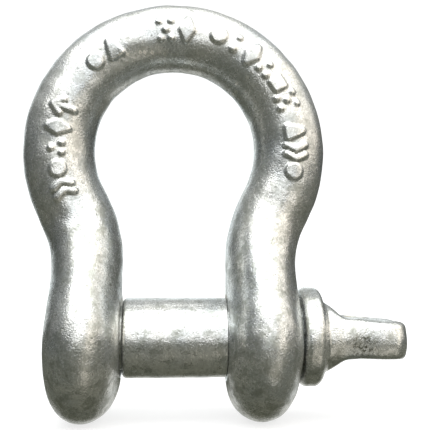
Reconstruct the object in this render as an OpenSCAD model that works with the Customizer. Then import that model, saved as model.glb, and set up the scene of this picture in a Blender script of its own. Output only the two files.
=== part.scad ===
// Bow shackle with a screw pin: a bent bar with two round ears, and a pin that
// passes through the plain ear and screws into the threaded one.
// Millimetres, +Z towards the crown. The origin is on the pin's axis, at the
// middle of the jaw. The pin's head, its collar and tab, is on the +X side.

/* [Bow] */
// Diameter of the bar round the crown
bar_d = 17.2; // [15.5:0.1:18]
// How much thicker the bar is in each throat, and again below it
bar_swell = 0.3; // [0.1:0.05:0.5]
// Radius of the crown's arc, at the middle of the bar
crown_radius = 28.9; // [27:0.1:31]
// Height of the crown arc's centre above the pin's axis
crown_height = 46.4; // [45:0.1:50]
// Radius of the outward bend in each throat, at the middle of the bar
throat_radius = 29.8; // [28:0.1:32]

/* [Ears] */
// Gap between the two ears, at their flat middles
jaw_width = 25.8; // [24:0.1:27]
// Diameter of each ear, seen along the pin
ear_d = 41; // [39:0.1:44]
// Thickness of each ear along the pin
ear_thickness = 17.9; // [17:0.1:18.6]
// Diameter of the flat middle of each ear's faces, round which they curve away
ear_flat_d = 18; // [16:0.5:24]
// Height above the pin at which the bar starts to flare into the ear
flare_top = 28.5; // [26:0.5:29.5]
// Diameter of the hole in the plain ear
plain_hole_d = 20.3; // [20:0.1:20.8]
// Chamfer at the mouth of each hole
hole_chamfer = 0.7; // [0.3:0.1:1]

/* [Pin] */
// Diameter of the shank where the load sits on it, in the jaw
pin_d = 19.6; // [18.6:0.1:19.8]
// Diameter of the shank inside the plain ear
pin_guide_d = 19.2; // [18.2:0.1:19.4]
// Diameter of the screwed end, at the middle of its thread
thread_d = 17.7; // [16.5:0.1:18]
// Radial clearance round the screwed end in the threaded ear
thread_clearance = 0.1; // [0.05:0.01:0.3]
// How far the screwed end stays inside the threaded ear
thread_recess = 0.5; // [0:0.1:2]
// Chamfer on the screwed end
thread_chamfer = 1.3; // [0.8:0.1:2]

/* [Collar] */
// Diameter of the collar that stops the pin against the plain ear
collar_d = 24.4; // [23:0.1:26]
// Thickness of the collar
collar_thickness = 5.3; // [5:0.1:7]
// Gap left between the collar and the plain ear
collar_gap = 0.3; // [0.1:0.05:1]

/* [Tab] */
// Width of the turning tab
tab_width = 17.8; // [15:0.1:18.6]
// Thickness of the tab next to the neck
tab_thickness = 10.8; // [9:0.1:12]
// Thickness of the tab at its free end
tab_end_thickness = 9.8; // [8:0.1:11]
// Distance from the collar to the free end of the tab
tab_length = 21.5; // [20:0.1:26]
// Diameter of the eye that takes a seizing wire or a marlinspike
eye_d = 6.8; // [5:0.1:7.5]
// Distance from the collar to the middle of the eye
eye_offset = 9.3; // [8.5:0.1:11]

/* [Hidden] */
$fn = 96;

zinc = [0.69, 0.70, 0.69];
zinc_dull = [0.60, 0.61, 0.59];
zinc_light = [0.76, 0.77, 0.77];

// Ears and throats
ear_x = (jaw_width + ear_thickness) / 2;
ear_r = ear_d / 2;
bar_r = bar_d / 2;

// An ear's faces curve away to its edge in a line a little squarer than an ellipse
rim_power = 2.1;
rim_steps = 10;
hull_fn = 32;
// How far the top of each flare lies inside the bar, so that the ear's faces stay flat
flare_inset = 1.2;
// Angle by which each bend of the bar runs into the next, thicker one
bend_overlap = 1;
shoulder_angle = acos((ear_x + throat_radius) / (crown_radius + throat_radius));
throat_x = ear_x + throat_radius;
throat_z = crown_height - (crown_radius + throat_radius) * sin(shoulder_angle);

// Lengths along the pin, measured from the middle of the jaw
jaw_half = jaw_width / 2;
// The loaded stretch of the shank stops just short of both ears
load_half = jaw_half - 0.25;
thread_end = -(jaw_half + ear_thickness - thread_recess);
collar_start = jaw_half + ear_thickness + collar_gap;
collar_end = collar_start + collar_thickness;
tab_end = collar_end + tab_length;
eye_x = collar_end + eye_offset;

// The neck joins the collar to the tab, and part of it runs through the collar
core_r = 7.5;
core_clearance = 0.05;
neck_start_r = 9.9;
neck_waist_r = 9.3;
neck_waist_offset = 1.1;
neck_end_offset = 5.2;
neck_fillet = 2.5;
collar_ear_round = 1;
collar_tab_round = 1.8;
tab_corner = 4.5;
tab_edge_round = 1.2;
eye_chamfer = 0.5;
eps = 0.05;

// Points along a circular arc, from angle a0 to angle a1
function arc(cx, cy, r, a0, a1, steps = 6) = [
    for (i = [0 : steps])
        let (a = a0 + (a1 - a0) * i / steps)
        [cx + r * cos(a), cy + r * sin(a)]
];

// Points of an ear's rim: half the thickness at the flat, nothing at the edge
function rim(half, flat_r) = [
    for (i = [0 : rim_steps])
        let (a = 90 * i / rim_steps)
        [flat_r + (ear_r - flat_r) * pow(sin(a), 2 / rim_power),
         half * pow(cos(a), 2 / rim_power)]
];

// Distance of the bar's middle from the plane of symmetry, in the throat
function throat_line(z) =
    throat_x - sqrt(throat_radius * throat_radius - (z - throat_z) * (z - throat_z));

// Turns a shape made along Z so that it lies along X
module along_x() {
    rotate([0, 90, 0]) children();
}

// One ear as a solid of revolution with flat faces and a rounded rim
module ear_disc() {
    half = ear_thickness / 2;
    top = rim(half, ear_flat_d / 2);
    bottom = [for (i = [rim_steps - 1 : -1 : 0]) [top[i][0], -top[i][1]]];
    along_x() rotate_extrude($fn = hull_fn * 2)
        polygon(concat([[0, half]], top, bottom, [[0, -half]]));
}

// An ear with the flare that leads up into the bar, on the +X side
module ear_and_flare() {
    hull() {
        translate([ear_x, 0, 0]) ear_disc();
        translate([throat_line(flare_top) - flare_inset, 0, flare_top])
            cylinder(h = 0.5, r = bar_r - flare_inset, $fn = hull_fn);
    }
}

// A stretch of bent bar in the upright plane, from angle a0 to angle a1
module bend(x, z, bend_r, r, a0, a1) {
    translate([x, 0, z])
        rotate([90, 0, 0])
            rotate([0, 0, a0])
                rotate_extrude(angle = a1 - a0)
                    translate([bend_r, 0])
                        circle(r = r);
}

// The crown's arc, whose ends run a little way into the thicker throats
module crown() {
    bend(0, crown_height, crown_radius, bar_r,
         -shoulder_angle - bend_overlap, 180 + shoulder_angle + bend_overlap);
}

// The outward bend of one throat and the straight bar below it, on the +X side
module limb() {
    bend(throat_x, throat_z, throat_radius, bar_r + bar_swell / 2,
         180 - shoulder_angle, 180 + bend_overlap);
    translate([ear_x, 0, ear_r / 2])
        cylinder(h = throat_z - ear_r / 2, r = bar_r + bar_swell);
}

// A hole through one ear, with both mouths chamfered
module ear_hole(r) {
    start = jaw_half - 1;
    depth = ear_thickness + 2;
    mouth = r + hole_chamfer;
    along_x() {
        translate([0, 0, start]) cylinder(h = depth, r = r);
        translate([0, 0, jaw_half - eps])
            cylinder(h = hole_chamfer + eps, r1 = mouth + eps, r2 = r);
        translate([0, 0, jaw_half + ear_thickness - hole_chamfer])
            cylinder(h = hole_chamfer + eps, r1 = r, r2 = mouth + eps);
    }
}

// The forged bow: crown, two limbs and two ears in one piece
module bow() {
    color(zinc) difference() {
        union() {
            crown();
            limb();
            mirror([1, 0, 0]) limb();
            ear_and_flare();
            mirror([1, 0, 0]) ear_and_flare();
        }
        ear_hole(plain_hole_d / 2);
        mirror([1, 0, 0]) ear_hole(thread_d / 2 + thread_clearance);
    }
}

// The smooth part of the pin, with the core that carries the collar and the tab
module pin_shank() {
    core_length = collar_end + core_clearance - collar_start;
    color(zinc_light) along_x() {
        translate([0, 0, -load_half]) cylinder(h = 2 * load_half, r = pin_d / 2);
        translate([0, 0, load_half])
            cylinder(h = collar_start - core_clearance - load_half, r = pin_guide_d / 2);
        translate([0, 0, collar_start - core_clearance])
            cylinder(h = core_length + core_clearance, r = core_r);
    }
}

// The screwed end of the pin, as a plain cylinder at the thread's middle diameter
module pin_thread() {
    r = thread_d / 2;
    color(zinc_dull) along_x() {
        translate([0, 0, thread_end + thread_chamfer])
            cylinder(h = -load_half - thread_end - thread_chamfer, r = r);
        translate([0, 0, thread_end])
            cylinder(h = thread_chamfer, r1 = r - thread_chamfer, r2 = r);
    }
}

// The collar, a ring round the pin's core
module pin_collar() {
    r = collar_d / 2;
    bore = core_r + core_clearance;
    ear_side = arc(r - collar_ear_round, collar_start + collar_ear_round,
                   collar_ear_round, -90, 0);
    tab_side = arc(r - collar_tab_round, collar_end - collar_tab_round,
                   collar_tab_round, 0, 90);
    color(zinc_light) along_x() rotate_extrude()
        polygon(concat([[bore, collar_start]], ear_side, tab_side, [[bore, collar_end]]));
}

// The tab seen from above, turned round the pin's axis: its neck, sides and end
module tab_turned() {
    side = tab_width / 2;
    start = collar_end + core_clearance;
    corner = arc(side - tab_corner, tab_end - tab_corner, tab_corner, 0, 90);
    along_x() rotate_extrude()
        polygon(concat([[0, start], [neck_start_r, start],
                        [neck_waist_r, collar_end + neck_waist_offset],
                        [side, collar_end + neck_end_offset]],
                       corner, [[0, tab_end]]));
}

// Half of the tab's outline seen from the front: the cone of the neck, then the taper
function tab_half_outline() =
    let (thick = tab_thickness / 2,
         thin = tab_end_thickness / 2,
         waist = collar_end + neck_waist_offset,
         foot = collar_end + neck_end_offset,
         slope = atan((neck_waist_r - thick) / (foot - waist)),
         cut = neck_fillet * tan(slope / 2),
         round_x = tab_end - tab_edge_round)
    concat([[collar_end, neck_start_r + 1], [collar_end + core_clearance, neck_start_r],
            [waist, neck_waist_r]],
           arc(foot + cut, thick + neck_fillet, neck_fillet, 270 - slope, 270),
           arc(round_x, thin - tab_edge_round, tab_edge_round, 90, 0));

// The flattened tab that turns the pin, with its eye
module pin_tab() {
    upper = tab_half_outline();
    last = len(upper) - 1;
    lower = [for (i = [last : -1 : 0]) [upper[i][0], -upper[i][1]]];
    eye_r = eye_d / 2;
    along = (eye_x - collar_end - neck_end_offset) / (tab_length - neck_end_offset);
    eye_half = (tab_thickness + (tab_end_thickness - tab_thickness) * along) / 2;
    color(zinc_light) difference() {
        intersection() {
            tab_turned();
            rotate([90, 0, 0])
                linear_extrude(height = tab_width * 2, center = true)
                    polygon(concat(upper, lower));
        }
        translate([eye_x, 0, 0]) {
            cylinder(h = tab_thickness * 2, r = eye_r, center = true);
            for (side = [0, 1])
                mirror([0, 0, side])
                    translate([0, 0, eye_half - eye_chamfer])
                        cylinder(h = 1, r1 = eye_r, r2 = eye_r + 1);
        }
    }
}

bow();
pin_shank();
pin_thread();
pin_collar();
pin_tab();
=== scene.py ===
"""Looks of a galvanised bow shackle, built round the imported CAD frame.

The frame is in metres, with +Z towards the crown, its origin on the pin's axis and the
pin's head on the +X side. Shapes here are worked out in millimetres and scaled as their
meshes are made.
"""

import math

import bpy
import numpy as np
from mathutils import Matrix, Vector


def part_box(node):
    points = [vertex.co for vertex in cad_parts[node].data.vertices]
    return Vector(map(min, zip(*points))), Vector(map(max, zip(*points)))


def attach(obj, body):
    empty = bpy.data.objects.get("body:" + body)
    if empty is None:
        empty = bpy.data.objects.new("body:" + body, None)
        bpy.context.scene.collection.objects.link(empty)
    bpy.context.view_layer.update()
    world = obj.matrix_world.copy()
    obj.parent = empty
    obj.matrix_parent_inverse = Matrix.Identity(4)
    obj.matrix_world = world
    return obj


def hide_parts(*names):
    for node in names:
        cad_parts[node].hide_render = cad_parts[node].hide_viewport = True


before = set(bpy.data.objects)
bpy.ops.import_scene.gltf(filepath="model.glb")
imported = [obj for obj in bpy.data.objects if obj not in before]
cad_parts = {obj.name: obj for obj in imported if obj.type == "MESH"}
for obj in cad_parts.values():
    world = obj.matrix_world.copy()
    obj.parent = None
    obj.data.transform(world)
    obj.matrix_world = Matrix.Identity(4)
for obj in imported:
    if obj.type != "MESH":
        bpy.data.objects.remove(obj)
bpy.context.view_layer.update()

MM = 0.001
COLUMNS = 128  # points round the bow, the shank and the collar


def box_mm(node):
    """Lowest and highest corner of a CAD node, in millimetres."""
    low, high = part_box(node)
    return low / MM, high / MM


# Sizes read off the frame
BOW_LOW, BOW_HIGH = box_mm("bow")
SHANK_LOW, SHANK_HIGH = box_mm("pin_shank")
THREAD_LOW, THREAD_HIGH = box_mm("pin_thread")
COLLAR_LOW, COLLAR_HIGH = box_mm("pin_collar")
TAB_LOW, TAB_HIGH = box_mm("pin_tab")
EAR_R = BOW_HIGH.y
PIN_R = SHANK_HIGH.z
SHANK_START = SHANK_LOW.x
THREAD_END = THREAD_LOW.x
THREAD_R = THREAD_HIGH.z
COLLAR_R = COLLAR_HIGH.z

# The bow's own sizes
BAR_R = 8.6
CROWN_R = 28.9
THROAT_R = 29.8
JAW_HALF = 12.9
EAR_HALF = 8.95
EAR_X = JAW_HALF + EAR_HALF
EAR_OUT = JAW_HALF + 2 * EAR_HALF
EAR_FLAT_R = 8.5
EAR_POWER = 2.1
FLARE_TOP = 27.0
CROWN_Z = BOW_HIGH.z - CROWN_R - BAR_R
SHOULDER = math.acos((EAR_X + THROAT_R) / (CROWN_R + THROAT_R))
THROAT_Z = CROWN_Z - (CROWN_R + THROAT_R) * math.sin(SHOULDER)
CROWN_RUN = CROWN_R * (math.pi / 2 + SHOULDER)
THROAT_RUN = THROAT_R * SHOULDER
# The bar is thinner than BAR_R at the crown's top and thicker at its shoulders
BAR_SWELL = 0.25
# The limbs have a slight waist and stand a little closer to each other above the ears
WAIST, WAIST_Z, WAIST_REACH = 0.2, 14, 8
NIP, NIP_Z, NIP_REACH = 0.5, 20, 9
# Both ears' feet lean towards the threaded side
FOOT_LEAN, FOOT_DEPTH = 0.35, 18
# Heights over which a limb turns into an ear
EAR_BLEND = 8
EAR_FULL_Z = 14
EAR_FLAT_Z = 16

# Holes and thread
PLAIN_HOLE_R = 10.15
PITCH = 2.5
HOLE_CREST_R = THREAD_R + 0.1
HOLE_ROOT_R = 9.9
PIN_ROOT_R = 7.8


def smooth(t):
    """Smooth step from 0 to 1."""
    t = np.clip(t, 0.0, 1.0)
    return t * t * (3.0 - 2.0 * t)


# ---------------------------------------------------------------- mesh helpers


def make_object(name, vertices_mm, faces, sharp_angle=40):
    """A smooth-shaded mesh object, with edges sharper than sharp_angle kept crisp."""
    mesh = bpy.data.meshes.new(name)
    mesh.from_pydata((vertices_mm * MM).tolist(), [], faces)
    mesh.validate()
    mesh.shade_smooth()
    mesh.set_sharp_from_angle(angle=math.radians(sharp_angle))
    obj = bpy.data.objects.new(name, mesh)
    bpy.context.scene.collection.objects.link(obj)
    return obj


def tube(name, rings, start_cap, end_cap, sharp_angle=40):
    """A closed skin over rings of points, with a fan to a middle point at each end."""
    rows, columns, _ = rings.shape
    index = np.arange(rows * columns).reshape(rows, columns)
    turned = np.roll(index, -1, axis=1)
    quads = np.stack([index[:-1], turned[:-1], turned[1:], index[1:]], axis=-1)
    faces = quads.reshape(-1, 4).tolist()
    first, last = rows * columns, rows * columns + 1
    for c in range(columns):
        faces.append((first, int(turned[0, c]), int(index[0, c])))
        faces.append((last, int(index[-1, c]), int(turned[-1, c])))
    vertices = np.concatenate([rings.reshape(-1, 3), [start_cap], [end_cap]])
    return make_object(name, vertices, faces, sharp_angle)


def ring_normals(rings):
    """Outward unit normals of a grid of rings."""
    along = np.gradient(rings, axis=0)
    around = np.roll(rings, -1, axis=1) - np.roll(rings, 1, axis=1)
    normals = np.cross(around, along)
    length = np.linalg.norm(normals, axis=2, keepdims=True)
    return normals / np.maximum(length, 1e-9)


def turned_rings(x, r, columns):
    """Rings round the X axis. r is a profile over x, or a grid over x and angle."""
    angle = np.linspace(0, 2 * math.pi, columns, endpoint=False)
    r = r[:, None] if r.ndim == 1 else r
    y = r * -np.sin(angle)
    z = r * np.cos(angle)
    return np.stack([np.broadcast_to(x[:, None], y.shape), y, z], axis=-1)


def cut(obj, cutter):
    """Takes cutter's volume out of obj and deletes the cutter."""
    modifier = obj.modifiers.new("cut", "BOOLEAN")
    modifier.operation = "DIFFERENCE"
    modifier.solver = "EXACT"
    modifier.object = cutter
    bpy.context.view_layer.update()
    graph = bpy.context.evaluated_depsgraph_get()
    result = bpy.data.meshes.new_from_object(obj.evaluated_get(graph))
    obj.modifiers.clear()
    obj.data = result
    bpy.data.objects.remove(cutter)
    obj.data.shade_smooth()
    obj.data.set_sharp_from_angle(angle=math.radians(40))


def unevenness(points, seed, size, height):
    """Soft random swells, a few waves of about the given size, as a forging has."""
    random = np.random.default_rng(seed)
    total = np.zeros(points.shape[:-1])
    waves = 14
    for _ in range(waves):
        direction = random.normal(size=3)
        direction /= np.linalg.norm(direction)
        length = size * random.uniform(0.6, 1.8)
        phase = random.uniform(0, 2 * math.pi)
        total += np.sin(points @ direction * 2 * math.pi / length + phase)
    return total * height / math.sqrt(waves / 2)


# ---------------------------------------------------------------- the bow

MARK_HEIGHT = 0.6
MARK_SCALE = 1.04
STROKE_CORE = 0.3
STROKE_EDGE = 1.15


def outline(points):
    """Strokes that join the points in turn and close up."""
    return [(*a, *b) for a, b in zip(points, points[1:] + points[:1])]


def dots(*places):
    """Strokes of no length."""
    return [(u, v, u, v) for u, v in places]


def chevron(start, length=1.1, half_width=2.2):
    """Two strokes that meet in a point ahead of start."""
    tip = round(start + length, 3)
    return [(start, -half_width, tip, 0), (tip, 0, start, half_width)]


def solid(points):
    """Strokes that fill a small shape: its outline, the same at half size, and its middle."""
    return outline(points) + outline([(u / 2, v / 2) for u, v in points]) + dots((0, 0))


def disc(radius, sides=14):
    """Strokes that fill a circle."""
    turns = [2 * math.pi * k / sides for k in range(sides)]
    return solid([(radius * math.sin(t), radius * math.cos(t)) for t in turns])


# Plain signs in place of the real one's lettering, none of them a letter or a
# figure: u runs along the bar, v outwards
MARKS = {
    "disc": disc(1.3),
    "lozenge": solid([(-1.2, 0), (0, 2.4), (1.2, 0), (0, -2.4)]),
    "triangle": solid([(-1.4, -1.7), (0, 2.0), (1.4, -1.7)]),
    "square": solid([(-1.1, -1.1), (-1.1, 1.1), (1.1, 1.1), (1.1, -1.1)]),
    "pair": dots((0, -1.6), (0, 1.6)),
    "trio": dots((-1.2, -1.3), (1.2, -1.3), (0, 1.2)),
    "dots": dots((-1.3, -2.1), (1.3, -2.1), (0, 0), (-1.3, 2.1), (1.3, 2.1)),
    "chevrons": chevron(-1.5) + chevron(0.6),
    "arrow": [(0, -2.6, 0, 2.4), (-1.6, 0.5, 0, 2.4), (1.6, 0.5, 0, 2.4)],
}

# Rows of marks: distance along the bar from the crown's top (+X side positive), spacing,
# distance outwards from the bar's front line, and the marks
MARK_ROWS = [
    (-56.0, 5.1, -0.4, ["chevrons", "disc", "trio", "lozenge", "arrow"]),
    (-21.6, 5.3, -0.5, ["disc", "triangle"]),
    (-2.4, 5.2, 0.2, ["dots", "lozenge"]),
    (10.6, 4.6, 0.9, ["disc", "pair", "lozenge", "trio", "square", "dots"]),
    (41.4, 4.8, 0.6, ["triangle", "chevrons", "disc"]),
]


def mark_relief(along, outward):
    """Height of the raised marks over the bar's unrolled surface."""
    reach_u, reach_v, far = 4, 5, 9.0
    height = np.zeros_like(along)
    for first, step, offset, names in MARK_ROWS:
        for k, name in enumerate(names):
            u = (along - (first + k * step)) / MARK_SCALE
            v = (outward - offset) / MARK_SCALE
            near = (np.abs(u) < reach_u) & (np.abs(v) < reach_v)
            distance = np.full(int(near.sum()), far)
            for u0, v0, u1, v1 in MARKS[name]:
                du, dv = u1 - u0, v1 - v0
                length = max(du * du + dv * dv, 1e-9)
                t = np.clip(((u[near] - u0) * du + (v[near] - v0) * dv) / length, 0, 1)
                gap = np.hypot(u[near] - u0 - t * du, v[near] - v0 - t * dv)
                distance = np.minimum(distance, gap)
            rise = smooth((STROKE_EDGE - distance) / (STROKE_EDGE - STROKE_CORE))
            height[near] = np.maximum(height[near], MARK_HEIGHT * rise)
    return height


def bar_line():
    """The bar's middle line on the +X side, from the crown's top down past the ear.

    Gives distance, x and z, with the joins between its arcs eased by a running mean."""
    step, spare, reach = 0.25, 20, 24
    straight = THROAT_Z + EAR_R + spare
    s = np.arange(0, CROWN_RUN + THROAT_RUN + straight, step)
    turn = math.pi / 2 - s / CROWN_R
    x = CROWN_R * np.cos(turn)
    z = CROWN_Z + CROWN_R * np.sin(turn)
    in_throat = s > CROWN_RUN
    turn = math.pi - SHOULDER + (s - CROWN_RUN) / THROAT_R
    x = np.where(in_throat, EAR_X + THROAT_R + THROAT_R * np.cos(turn), x)
    z = np.where(in_throat, THROAT_Z + THROAT_R * np.sin(turn), z)
    in_limb = s > CROWN_RUN + THROAT_RUN
    x = np.where(in_limb, EAR_X, x)
    z = np.where(in_limb, THROAT_Z - (s - CROWN_RUN - THROAT_RUN), z)
    weights = np.exp(-0.5 * (np.arange(-reach, reach + 1) / (reach / 2.5)) ** 2)
    weights /= weights.sum()
    x_all = np.concatenate([-x[reach:0:-1], x, np.full(reach, EAR_X)])
    z_all = np.concatenate([z[reach:0:-1], z, z[-1] - step * np.arange(1, reach + 1)])
    return s, np.convolve(x_all, weights, "valid"), np.convolve(z_all, weights, "valid")


def stations():
    """Distances along the bar at which it has a ring: close together where marks are."""
    crown_rings, limb_rings, ear_rings = 250, 34, 55
    crown_end = CROWN_RUN + THROAT_RUN
    ear_start = crown_end + THROAT_Z
    crown = np.linspace(0, crown_end, crown_rings, endpoint=False)
    limb = np.linspace(crown_end, ear_start, limb_rings, endpoint=False)
    drop = np.linspace(0, math.pi / 2, ear_rings + 1)[:-1]
    ear = ear_start + EAR_R * np.sin(drop)
    return np.concatenate([crown, limb, ear])


def ear_half_width(z):
    """Half the ear's and flare's width along Y, at a height above the pin.

    The corner between flare and limb is eased, and the whole is a mean over nearby heights."""
    lean = math.asin((EAR_R - BAR_R) / FLARE_TOP)
    ease, reach, settle = 1.3, 2.4, 8
    total = np.zeros_like(z)
    shifts = np.linspace(-1, 1, 9) * reach
    for shift in shifts:
        at = z + shift * smooth((z + settle) / settle)
        flank = (EAR_R - at * math.sin(lean)) / math.cos(lean)
        flank = BAR_R + ease * np.log1p(np.exp((flank - BAR_R) / ease))
        circle = np.sqrt(np.maximum(EAR_R**2 - at**2, 0))
        total += np.where(at < EAR_R * math.sin(lean), circle, flank)
    return total / len(shifts)


def section_width(z, y, half_width, half_thickness):
    """Half the thickness of the ear or limb at height z and distance y off the middle."""
    below = np.minimum(z, 0)
    flat = EAR_FLAT_R * smooth(1 - z / EAR_FLAT_Z)
    reach = np.where(z < 0, EAR_R, half_width)
    q = np.clip((np.hypot(y, below) - flat) / np.maximum(reach - flat, 1e-6), 0, 1)
    power = EAR_POWER + (2 - EAR_POWER) * smooth(z / FLARE_TOP)
    return half_thickness * (1 - q**power) ** (1 / power)


def bow_rings():
    """Rings of points over the whole bow, with the distance along and round the bar."""
    line_s, line_x, line_z = bar_line()
    half = stations()
    s = np.concatenate([-half[:0:-1], half])[::-1]
    side = np.sign(s) + (s == 0)
    x = np.interp(np.abs(s), line_s, line_x)
    z = np.interp(np.abs(s), line_s, line_z)
    dx = np.interp(np.abs(s), line_s, np.gradient(line_x, line_s))
    dz = np.interp(np.abs(s), line_s, np.gradient(line_z, line_s))
    run = np.hypot(dx, dz)
    out_x, out_z = side * -dz / run, dx / run
    x = side * (x - NIP * np.exp(-(((z - NIP_Z) / NIP_REACH) ** 2)))
    x = x - FOOT_LEAN * smooth(-z / FOOT_DEPTH)

    crowding = 0.38  # the points round the bar crowd towards the front, where the marks are
    turn = np.linspace(0, 2 * math.pi, COLUMNS, endpoint=False)
    turn = turn - crowding * np.sin(turn)
    in_ear = smooth((FLARE_TOP + EAR_BLEND - z) / EAR_BLEND) * (np.abs(s) > CROWN_RUN)
    thick = BAR_R - BAR_SWELL + 2 * BAR_SWELL * smooth(np.abs(s) / CROWN_RUN)
    thick = thick - WAIST * np.exp(-(((z - WAIST_Z) / WAIST_REACH) ** 2)) * in_ear
    thick = thick + (EAR_HALF - thick) * smooth((EAR_FULL_Z - z) / EAR_FULL_Z) * in_ear
    wide = np.where(in_ear > 0, np.maximum(ear_half_width(z), 1e-3), thick)
    wide = wide * in_ear + thick * (1 - in_ear)

    y = -wide[:, None] * np.cos(turn)[None, :]
    ear_profile = section_width(z[:, None], y, wide[:, None], thick[:, None])
    across = np.sign(np.sin(turn))[None, :] * ear_profile
    rounded = thick[:, None] * np.sin(turn)[None, :]
    across = np.where(in_ear[:, None] > 0, across, rounded)
    ring_x = x[:, None] + across * out_x[:, None]
    ring_z = z[:, None] + across * out_z[:, None]
    rings = np.stack([ring_x, y, ring_z], axis=-1)
    outward = thick[:, None] * np.where(turn > math.pi, turn - 2 * math.pi, turn)[None, :]
    return rings, np.broadcast_to(s[:, None], y.shape), outward


def hole_cutter(name, side, spacing, columns, radius_at):
    """A turned cutter through one ear. radius_at gives its radius over x and angle."""
    overshoot = 3
    x = np.arange(JAW_HALF - overshoot, EAR_OUT + overshoot, spacing)
    angle = np.linspace(0, 2 * math.pi, columns, endpoint=False)
    rings = turned_rings(x, radius_at(x[:, None], angle[None, :]), len(angle))
    rings = rings * [side, 1, 1]
    rings = rings[:, ::-1] if side < 0 else rings
    ends = [side * x[0], 0, 0], [side * x[-1], 0, 0]
    return tube(name, rings, *ends)


def mouth(x, radius, chamfer):
    """Radius of a cone at each mouth of an ear's hole."""
    depth = np.minimum(x - JAW_HALF, EAR_OUT - x)
    return radius + chamfer - np.maximum(depth, 0)


def plain_hole(x, angle):
    """The hole that the shank passes through, with a small chamfer at each mouth."""
    return np.maximum(PLAIN_HOLE_R + 0 * angle, mouth(x, PLAIN_HOLE_R, 0.7))


def groove(x, angle):
    """Depth of a thread's groove, from 0 at the crest to 1 at the root."""
    phase = (x / PITCH + angle / (2 * math.pi)) % 1.0
    return np.clip(1.35 * np.abs(2 * phase - 1) - 0.15, 0, 1)


def threaded_hole(x, angle):
    """The hole that the pin screws into: grooves cut outwards from the crest."""
    thread = HOLE_CREST_R + (HOLE_ROOT_R - HOLE_CREST_R) * groove(x, angle)
    return np.maximum(thread, mouth(x, HOLE_ROOT_R, 0.1))


def build_bow():
    """The bow, with its swells and raised marks, and a hole through each ear."""
    rings, along, outward = bow_rings()
    normals = ring_normals(rings)
    relief = unevenness(rings, 11, 16, 0.05) + unevenness(rings, 12, 6, 0.035)
    relief = relief + mark_relief(along, outward)
    rings = rings + normals * relief[..., None]
    ends = rings[0].mean(axis=0), rings[-1].mean(axis=0)
    bow = tube("bow_forging", rings, *ends)
    cut(bow, hole_cutter("plain_cutter", 1, 0.35, 96, plain_hole))
    cut(bow, hole_cutter("thread_cutter", -1, 0.16, 72, threaded_hole))
    return bow


# ---------------------------------------------------------------- the pin


def arc(cx, cy, rx, ry, a0, a1, steps=8):
    """Points along an elliptical arc, from angle a0 to a1 in degrees."""
    a = np.radians(np.linspace(a0, a1, steps + 1))
    return [(cx + rx * math.cos(t), cy + ry * math.sin(t)) for t in a]


def resampled(profile, spacing):
    """x and radius along a profile of (x, radius) points, with more points in between."""
    points = np.array(profile)
    steps = np.hypot(*np.diff(points, axis=0).T)
    distance = np.concatenate([[0], np.cumsum(steps)])
    extra = np.arange(0, distance[-1], spacing)
    fine = np.union1d(np.round(distance, 4), np.round(extra, 4))
    return np.interp(fine, distance, points[:, 0]), np.interp(fine, distance, points[:, 1])


def build_shank():
    """The smooth stretch, from its rounded shoulder to the core inside the collar."""
    shoulder, face_r, guide_r, core_r = 1.2, 6.0, 9.6, 7.45
    slope, chamfer = 0.2, 0.3
    start, step = SHANK_START, JAW_HALF - 0.25
    end = COLLAR_LOW.x - 0.05
    profile = [(start, face_r), (start, PIN_R - shoulder)]
    profile += arc(start + shoulder, PIN_R - shoulder, shoulder, shoulder, 180, 90)
    profile += [(step, PIN_R), (step + slope, guide_r)]
    profile += [(end - chamfer, guide_r), (end, guide_r - chamfer)]
    profile += [(end, core_r), (TAB_LOW.x, core_r)]
    x, r = resampled(profile, 0.6)
    rings = turned_rings(x, r, COLUMNS)
    swell = unevenness(rings, 21, 9, 0.035)
    rings[..., 1:] *= (1 + swell / r[:, None])[..., None]
    return tube("pin_shank_steel", rings, [x[0], 0, 0], [x[-1], 0, 0])


def build_thread():
    """The screwed end, with a real helical groove, a neck and a chamfered tip."""
    neck, runout, chamfer, hollow = 1.4, 0.6, 1.3, 0.4
    x = np.arange(THREAD_END, SHANK_START + 0.001, 0.12)
    x[-1] = SHANK_START
    angle = np.linspace(0, 2 * math.pi, 96, endpoint=False)
    depth = groove(x[:, None] + PITCH / 2, angle[None, :])
    r = THREAD_R - (THREAD_R - PIN_ROOT_R) * depth
    tip = THREAD_R - chamfer + (x - THREAD_END)
    r = np.minimum(r, tip[:, None])
    into_neck = smooth((x - (SHANK_START - neck - runout)) / runout)[:, None]
    r = r + (PIN_ROOT_R - r) * into_neck
    rings = turned_rings(x, r, len(angle))
    return tube("pin_thread_helix", rings, [x[0] + hollow, 0, 0], [x[-1], 0, 0], 50)


def build_collar():
    """The collar, a thick ring with a soft edge on the tab's side."""
    start, end, bore = COLLAR_LOW.x, COLLAR_HIGH.x, 7.55
    edge, soft_x, soft_r = 1.5, 2.0, 2.3
    profile = [(end, bore), (start, bore)]
    profile += arc(start + edge, COLLAR_R - edge, edge, edge, 180, 90)
    profile += arc(end - soft_x, COLLAR_R - soft_r, soft_x, soft_r, 90, 0, 12)
    x, r = resampled(profile, 0.5)
    rings = turned_rings(x, r, COLUMNS)
    swell = unevenness(rings, 31, 7, 0.06) * (r > bore + 1)[:, None]
    rings[..., 1:] *= (1 + swell / r[:, None])[..., None]
    rows, columns, _ = rings.shape
    index = np.arange(rows * columns).reshape(rows, columns)
    index = np.concatenate([index, index[:1]])
    turned = np.roll(index, -1, axis=1)
    quads = np.stack([index[:-1], turned[:-1], turned[1:], index[1:]], axis=-1)
    return make_object("pin_collar_ring", rings.reshape(-1, 3), quads.reshape(-1, 4).tolist())


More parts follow.
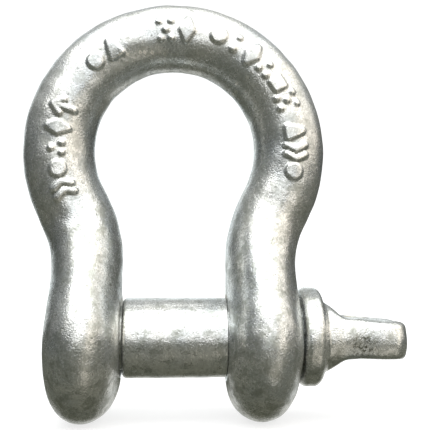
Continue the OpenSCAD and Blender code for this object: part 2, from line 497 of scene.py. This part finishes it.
# The tab, the neck between it and the collar, and the tab's eye
TAB_HALF_WIDTH = 8.9
TAB_HALF_THICK = 5.1
TAB_END_HALF_THICK = 4.5
TAB_CORNER_X = 4.2
TAB_CORNER_Y = 6.2
TAB_EDGE = 1.9
NECK_START_R = 9.9
NECK_WAIST_R = 9.2
NECK_WAIST_X = 0.9
NECK_FOOT_X = 4.9
TAB_DROOP = math.radians(4.0)
DROOP_START = COLLAR_HIGH.x + 9.0
EYE_R = 3.4
EYE_X = COLLAR_HIGH.x + 9.3
# A rough, dark patch on the tab's front edge, under the eye
PATCH_MIDDLE = (EYE_X, -TAB_HALF_WIDTH, -1.2)


def tab_profile():
    """x, half width and half thickness of the neck and tab."""
    start, end = TAB_LOW.x, TAB_HIGH.x - 0.3
    waist, foot = COLLAR_HIGH.x + NECK_WAIST_X, COLLAR_HIGH.x + NECK_FOOT_X
    corner_start = end - TAB_CORNER_X
    body = np.linspace(start, corner_start, 70, endpoint=False)
    turn = np.radians(np.linspace(0, 90, 30))
    x = np.concatenate([body, corner_start + TAB_CORNER_X * np.sin(turn)])

    along = (x - waist) / (foot - waist)
    rim = NECK_WAIST_R + (NECK_START_R - NECK_WAIST_R) * (waist - x) / (waist - start)
    cone = NECK_WAIST_R + (TAB_HALF_THICK - NECK_WAIST_R) * along
    taper = (TAB_END_HALF_THICK - TAB_HALF_THICK) * (x - foot) / (end - foot)
    flat = TAB_HALF_THICK + taper
    ease = 0.45
    thick = flat + ease * np.log1p(np.exp((cone - flat) / ease))
    thick = np.where(x < waist, rim, thick)
    edge = np.maximum(x - (end - TAB_EDGE), 0) / TAB_EDGE
    thick = thick - TAB_EDGE * (1 - np.sqrt(np.maximum(1 - edge**2, 0)))

    wide = NECK_WAIST_R + (TAB_HALF_WIDTH - NECK_WAIST_R) * smooth(along)
    wide = np.where(x < waist, rim, wide)
    corner = np.maximum(x - corner_start, 0) / TAB_CORNER_X
    wide = wide - TAB_CORNER_Y * (1 - np.sqrt(np.maximum(1 - corner**2, 0)))
    return x, wide, thick


def eye_cutter():
    """A turned cutter for the eye, which widens softly at both mouths of the hole."""
    z = np.linspace(-9, 9, 121)
    mouth_depth, flare, widest = 0.7, 0.35, 1.4
    depth = np.maximum(np.abs(z) - (TAB_HALF_THICK - mouth_depth), 0)
    r = EYE_R + flare * np.minimum(depth, widest) ** 1.5
    rings = turned_rings(z, r, 64)[..., [2, 1, 0]]
    drop = TAB_DROOP * (EYE_X - DROOP_START)
    rings = rings[::-1] + [EYE_X, 0, -drop]
    return tube("eye_cutter", rings, rings[0].mean(axis=0), rings[-1].mean(axis=0))


def build_tab():
    """The neck and the flattened tab, with its eye, all slightly bent down."""
    x, wide, thick = tab_profile()
    angle = np.linspace(0, 2 * math.pi, 120, endpoint=False)
    crisp = 11
    flat = np.abs(np.cos(angle))[None, :] / thick[:, None]
    r = (wide[:, None] ** -crisp + flat**crisp) ** (-1 / crisp)
    rings = turned_rings(x, r, len(angle))
    rings = rings + ring_normals(rings) * unevenness(rings, 41, 7, 0.06)[..., None]
    rings[..., 2] -= TAB_DROOP * np.maximum(rings[..., 0] - DROOP_START, 0)
    ends = rings[0].mean(axis=0), rings[-1].mean(axis=0)
    tab = tube("pin_tab_forging", rings, *ends)
    cut(tab, eye_cutter())
    return tab


# ---------------------------------------------------------------- materials


def node(tree, kind, inputs=None, **properties):
    """A shader node with its properties set, and its inputs set or linked."""
    made = tree.nodes.new(kind)
    for key, value in properties.items():
        setattr(made, key, value)
    for key, value in (inputs or {}).items():
        if isinstance(value, bpy.types.NodeSocket):
            tree.links.new(value, made.inputs[key])
        else:
            made.inputs[key].default_value = value
    return made


def noise(tree, coords, size, detail=2.0, roughness=0.5):
    """Noise whose features are about size millimetres across, from 0 to 1."""
    made = node(tree, "ShaderNodeTexNoise", {"Vector": coords, "Scale": 1 / (size * MM)})
    made.inputs["Detail"].default_value = detail
    made.inputs["Roughness"].default_value = roughness
    return made.outputs["Fac"]


def ramp(tree, value, low, high, to_low=0.0, to_high=1.0):
    """value mapped smoothly from low..high to to_low..to_high."""
    inputs = {"Value": value, "From Min": low, "From Max": high}
    inputs.update({"To Min": to_low, "To Max": to_high})
    made = node(tree, "ShaderNodeMapRange", inputs, interpolation_type="SMOOTHSTEP")
    return made.outputs["Result"]


def maths(tree, operation, a, b):
    """One sum on two sockets or numbers."""
    return node(tree, "ShaderNodeMath", {0: a, 1: b}, operation=operation).outputs["Value"]


def times(tree, a, b):
    """One socket or number multiplied by another."""
    return maths(tree, "MULTIPLY", a, b)


def vector_maths(tree, operation, *vectors):
    """One sum on vectors, with its vector and its plain result to choose from."""
    made = node(tree, "ShaderNodeVectorMath", dict(enumerate(vectors)), operation=operation)
    return made.outputs


def blend(tree, factor, a, b):
    """Two colours mixed by a factor."""
    made = node(tree, "ShaderNodeMix", data_type="RGBA", blend_type="MIX")
    for key, value in (("Factor", factor), ("A", a), ("B", b)):
        socket = next(s for s in made.inputs if s.name == key and s.enabled)
        if isinstance(value, bpy.types.NodeSocket):
            tree.links.new(value, socket)
        else:
            socket.default_value = value
    return next(s for s in made.outputs if s.enabled)


def brushed(tree, coords):
    """Fine streaks across the bar, which fan out from the middle of the crown."""
    middle = Vector((0, 0, CROWN_Z)) * MM
    offset = vector_maths(tree, "SUBTRACT", coords, middle)["Vector"]
    parts = node(tree, "ShaderNodeSeparateXYZ", {0: offset}).outputs
    turn = maths(tree, "ARCTAN2", parts["Z"], parts["X"])
    stretch = 0.1
    along = times(tree, turn, CROWN_R * MM)
    across = times(tree, vector_maths(tree, "LENGTH", offset)["Value"], stretch)
    depth = times(tree, parts["Y"], stretch)
    turned = node(tree, "ShaderNodeCombineXYZ", {"X": along, "Y": across, "Z": depth})
    return noise(tree, turned.outputs["Vector"], 0.45, 3, 0.6)


PALE_ZINC = (0.86, 0.86, 0.83, 1)
BLUE_ZINC = (0.68, 0.71, 0.72, 1)
# Olive of the stains, also used for the painted shade low down
OLIVE_STAIN_AND_SHADE = (0.32, 0.335, 0.29, 1)
# Dark colour for the grime, speckle and pits, and for the painted shade in hollows and creases
GRIME_AND_SHADE = (0.13, 0.13, 0.10, 1)


def zinc(name, grain=1.0, dullness=0.0, patch=None, streaks=0.0):
    """Hot-dip zinc: mottled, with an orange-peel grain and rubbed edges, painted shade in its
    hollows and creases, and stains that grow stronger low down as painted shade there.

    grain scales the relief, and dullness stains and roughens it. streaks is the depth of
    the brushed streaks and patch the middle of a rough, dark patch, in millimetres."""
    material = bpy.data.materials.new(name)
    material.use_nodes = True
    tree = material.node_tree
    shader = tree.nodes["Principled BSDF"]
    coords = node(tree, "ShaderNodeTexCoord").outputs["Object"]

    clouds = noise(tree, coords, 11, 4, 0.6)
    blotches = noise(tree, coords, 3.0, 8, 0.76)
    peel = noise(tree, coords, 1.3, 3, 0.55)
    grit = noise(tree, coords, 0.7, 2, 0.5)
    fine = noise(tree, coords, 0.35, 2, 0.5)
    speckle = ramp(tree, noise(tree, coords, 0.45, 2, 0.6), 0.38, 0.62)
    pits = ramp(tree, noise(tree, coords, 0.9, 2, 0.6), 0.30, 0.40, 1.0, 0.0)
    stretched = node(tree, "ShaderNodeMapping", {"Vector": coords, "Scale": (1.0, 1.0, 0.12)})
    scratches = ramp(tree, noise(tree, stretched.outputs[0], 0.5, 2, 0.5), 0.66, 0.72)

    pointiness = node(tree, "ShaderNodeNewGeometry").outputs["Pointiness"]
    # Hollows and creases, found from pointiness, are darkened: painted shade
    hollow = ramp(tree, pointiness, 0.44, 0.49, 1.0, 0.0)
    rubbed = ramp(tree, pointiness, 0.515, 0.56)

    colour = blend(tree, ramp(tree, clouds, 0.35, 0.68), PALE_ZINC, BLUE_ZINC)
    stain = ramp(tree, blotches, 0.44 - 0.1 * dullness, 0.62)
    level = node(tree, "ShaderNodeSeparateXYZ", {0: coords}).outputs["Z"]
    # Stains are stronger low down than high up: painted shade that darkens the lower parts,
    # over the zinc's real mottling
    stain_and_low_shade = ramp(tree, level, 20 * MM, 50 * MM, 0.68, 0.45)
    colour = blend(tree, times(tree, stain, stain_and_low_shade), colour, OLIVE_STAIN_AND_SHADE)
    # The speckle and pits are the zinc's own grime; the darkening of hollows is painted shade
    layers = [(speckle, 0.28, GRIME_AND_SHADE), (pits, 0.45, GRIME_AND_SHADE), (hollow, 0.85, GRIME_AND_SHADE)]
    for mask, weight, tint in layers + [(rubbed, 0.8, PALE_ZINC)]:
        colour = blend(tree, times(tree, mask, weight), colour, tint)
    if patch:
        away = vector_maths(tree, "DISTANCE", coords, Vector(patch) * MM)["Value"]
        inside = ramp(tree, away, 1.5 * MM, 4.5 * MM, 1.0, 0.0)
        spots = ramp(tree, noise(tree, coords, 0.8, 4, 0.7), 0.48, 0.58)
        colour = blend(tree, times(tree, inside, spots), colour, GRIME_AND_SHADE)
    tree.links.new(colour, shader.inputs["Base Color"])

    rough = ramp(tree, blotches, 0.35, 0.70, 0.22 + 0.08 * dullness, 0.36 + 0.08 * dullness)
    rough = maths(tree, "SUBTRACT", rough, times(tree, rubbed, 0.1))
    tree.links.new(rough, shader.inputs["Roughness"])
    shader.inputs["Metallic"].default_value = 0.85

    height = times(tree, peel, 0.035 * grain)
    reliefs = [(grit, 0.042 * grain), (fine, 0.04 * grain)]
    reliefs += [(pits, -0.03 * grain), (scratches, -0.01)]
    if streaks:
        reliefs.append((brushed(tree, coords), streaks))
    for relief, depth in reliefs:
        height = maths(tree, "ADD", height, times(tree, relief, depth))
    bump = node(tree, "ShaderNodeBump", {"Height": height, "Strength": 1.0, "Distance": MM})
    tree.links.new(bump.outputs["Normal"], shader.inputs["Normal"])
    return material


# ---------------------------------------------------------------- assembly

bow = build_bow()
shank = build_shank()
thread = build_thread()
collar = build_collar()
tab = build_tab()

# Piece, body, the CAD node that it stands for, the record's slot, and its finish
PIECES = [
    (bow, "bow", "bow", "bow_zinc", zinc("bow_finish", streaks=0.022)),
    (shank, "pin", "pin_shank", "pin_zinc", zinc("shank_finish", 0.8, -0.4)),
    (thread, "pin", "pin_thread", "thread_zinc", zinc("thread_finish", 0.5, 0.6)),
    (collar, "collar", "pin_collar", "pin_zinc", zinc("collar_finish")),
    (tab, "pin", "pin_tab", "pin_zinc", zinc("tab_finish", 1.0, -0.2, PATCH_MIDDLE)),
]
for piece, body, cad_node, slot, finish in PIECES:
    piece.data.materials.append(finish)
    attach(piece, body)
    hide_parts(cad_node)


# ---------------------------------------------------------------- studio

# Places of the camera and of what it looks at, in millimetres, and its lens
CAMERA_AT = (-1.4, -199.0, 18.7)
CAMERA_TARGET = (11.4, 0, 32.3)
LENS_MM = 66.5
LENS_SHIFT = (-0.0117, -0.017)

# Lamps stand this far, in metres, from a point this high above the pin, in millimetres
LAMP_DISTANCE = 1.0
LAMP_TARGET_Z = 30
NEUTRAL = (1.0, 1.0, 1.0)
WARM = (1.0, 0.92, 0.82)
COOL = (0.92, 0.98, 1.0)
ROOM_LOW = (0.12, 0.125, 0.095, 1)
ROOM_MIDDLE = (0.045, 0.055, 0.055, 1)
ROOM_HIGH = (0.50, 0.52, 0.52, 1)


def build_camera():
    """The photograph's viewing angle: close, before the bow's middle and just above the pin."""
    data = bpy.data.cameras.new("camera")
    camera = bpy.data.objects.new("camera", data)
    bpy.context.scene.collection.objects.link(camera)
    camera.location = Vector(CAMERA_AT) * MM
    target = Vector(CAMERA_TARGET) * MM
    camera.rotation_euler = (target - camera.location).to_track_quat("-Z", "Y").to_euler()
    data.sensor_width = 36
    data.lens = LENS_MM
    data.shift_x, data.shift_y = LENS_SHIFT
    data.clip_start = 0.01
    data.clip_end = 20
    bpy.context.scene.camera = camera


def build_world():
    """A plain grey room: palest overhead, darkest at eye level."""
    world = bpy.data.worlds.new("studio")
    world.use_nodes = True
    tree = world.node_tree
    direction = node(tree, "ShaderNodeTexCoord").outputs["Generated"]
    height = node(tree, "ShaderNodeSeparateXYZ", {0: direction}).outputs["Z"]
    colour = blend(tree, ramp(tree, height, -0.3, 0.1), ROOM_LOW, ROOM_MIDDLE)
    colour = blend(tree, ramp(tree, height, 0.15, 0.75), colour, ROOM_HIGH)
    tree.links.new(colour, tree.nodes["Background"].inputs["Color"])
    bpy.context.scene.world = world


def softbox(name, colour, azimuth, elevation, width, height, brightness):
    """A soft rectangular lamp, aimed at the bow. Its azimuth is 0 at the camera's side and
    90 at the tab's."""
    data = bpy.data.lights.new(name, "AREA")
    data.shape = "RECTANGLE"
    data.size, data.size_y = width, height
    data.color = colour
    data.energy = brightness * math.pi * width * height
    lamp = bpy.data.objects.new(name, data)
    bpy.context.scene.collection.objects.link(lamp)
    a, e = math.radians(azimuth), math.radians(elevation)
    back = Vector((math.sin(a) * math.cos(e), -math.cos(a) * math.cos(e), math.sin(e)))
    lamp.location = Vector((0, 0, LAMP_TARGET_Z * MM)) + back * LAMP_DISTANCE
    lamp.rotation_euler = back.to_track_quat("Z", "Y").to_euler()
    lamp.visible_camera = False


def paper():
    """White paper: it glows to pure white far away, and lets a faint shadow show close by."""
    material = bpy.data.materials.new("paper")
    material.use_nodes = True
    tree = material.node_tree
    shader = tree.nodes["Principled BSDF"]
    shader.inputs["Base Color"].default_value = (0.35, 0.35, 0.35, 1)
    shader.inputs["Roughness"].default_value = 1.0
    shader.inputs["Specular IOR Level"].default_value = 0.0
    shader.inputs["Emission Color"].default_value = (1, 1, 1, 1)
    coords = node(tree, "ShaderNodeTexCoord").outputs["Object"]
    distance = vector_maths(tree, "LENGTH", coords)["Value"]
    glow = ramp(tree, distance, 0.10, 0.35, 0.76, 1.0)
    tree.links.new(glow, shader.inputs["Emission Strength"])
    return material


def build_backdrop():
    """A floor of white paper, curving up far away into a dome that closes overhead."""
    floor_z, floor_r, dome_r = BOW_LOW.z - 0.05, 1500.0, 2500.0
    curve_r, steps, columns = dome_r - floor_r, 24, 96
    floor = np.linspace(0.01, floor_r, steps)[:-1]
    curve = np.radians(np.linspace(0, 90, steps, endpoint=False))
    dome = np.radians(np.linspace(0, 90, steps))[:-1]
    r = [floor, floor_r + curve_r * np.sin(curve), dome_r * np.cos(dome)]
    z = [0 * floor, curve_r * (1 - np.cos(curve)), curve_r + dome_r * np.sin(dome)]
    rings = turned_rings(np.concatenate(z), np.concatenate(r), columns)
    rings = rings[..., [2, 1, 0]] + [0, 0, floor_z]
    backdrop = tube("paper_backdrop", rings, [0, 0, floor_z], [0, 0, rings[-1, 0, 2]])
    backdrop.data.materials.append(paper())
    backdrop.visible_glossy = False
    backdrop.visible_diffuse = False
    backdrop.visible_shadow = False


build_camera()
build_world()
build_backdrop()
softbox("overhead_softbox", NEUTRAL, 0, 70, 1.7, 1.5, 2.2)
softbox("front_softbox", NEUTRAL, 3, 18, 0.75, 0.75, 1.5)
softbox("left_softbox", NEUTRAL, -38, 34, 0.6, 0.55, 1.2)
softbox("right_softbox", WARM, 70, 28, 1.1, 0.9, 1.1)
softbox("low_right_softbox", WARM, 41, 4, 0.5, 0.6, 1.25)
softbox("bounce_card", WARM, 28, -38, 0.4, 0.6, 0.5)
softbox("rear_softbox", COOL, -171, 14, 1.1, 0.7, 1.05)
softbox("low_rear_softbox", NEUTRAL, 170, -28, 1.4, 0.4, 0.7)
bpy.context.scene.view_settings.view_transform = "Standard"
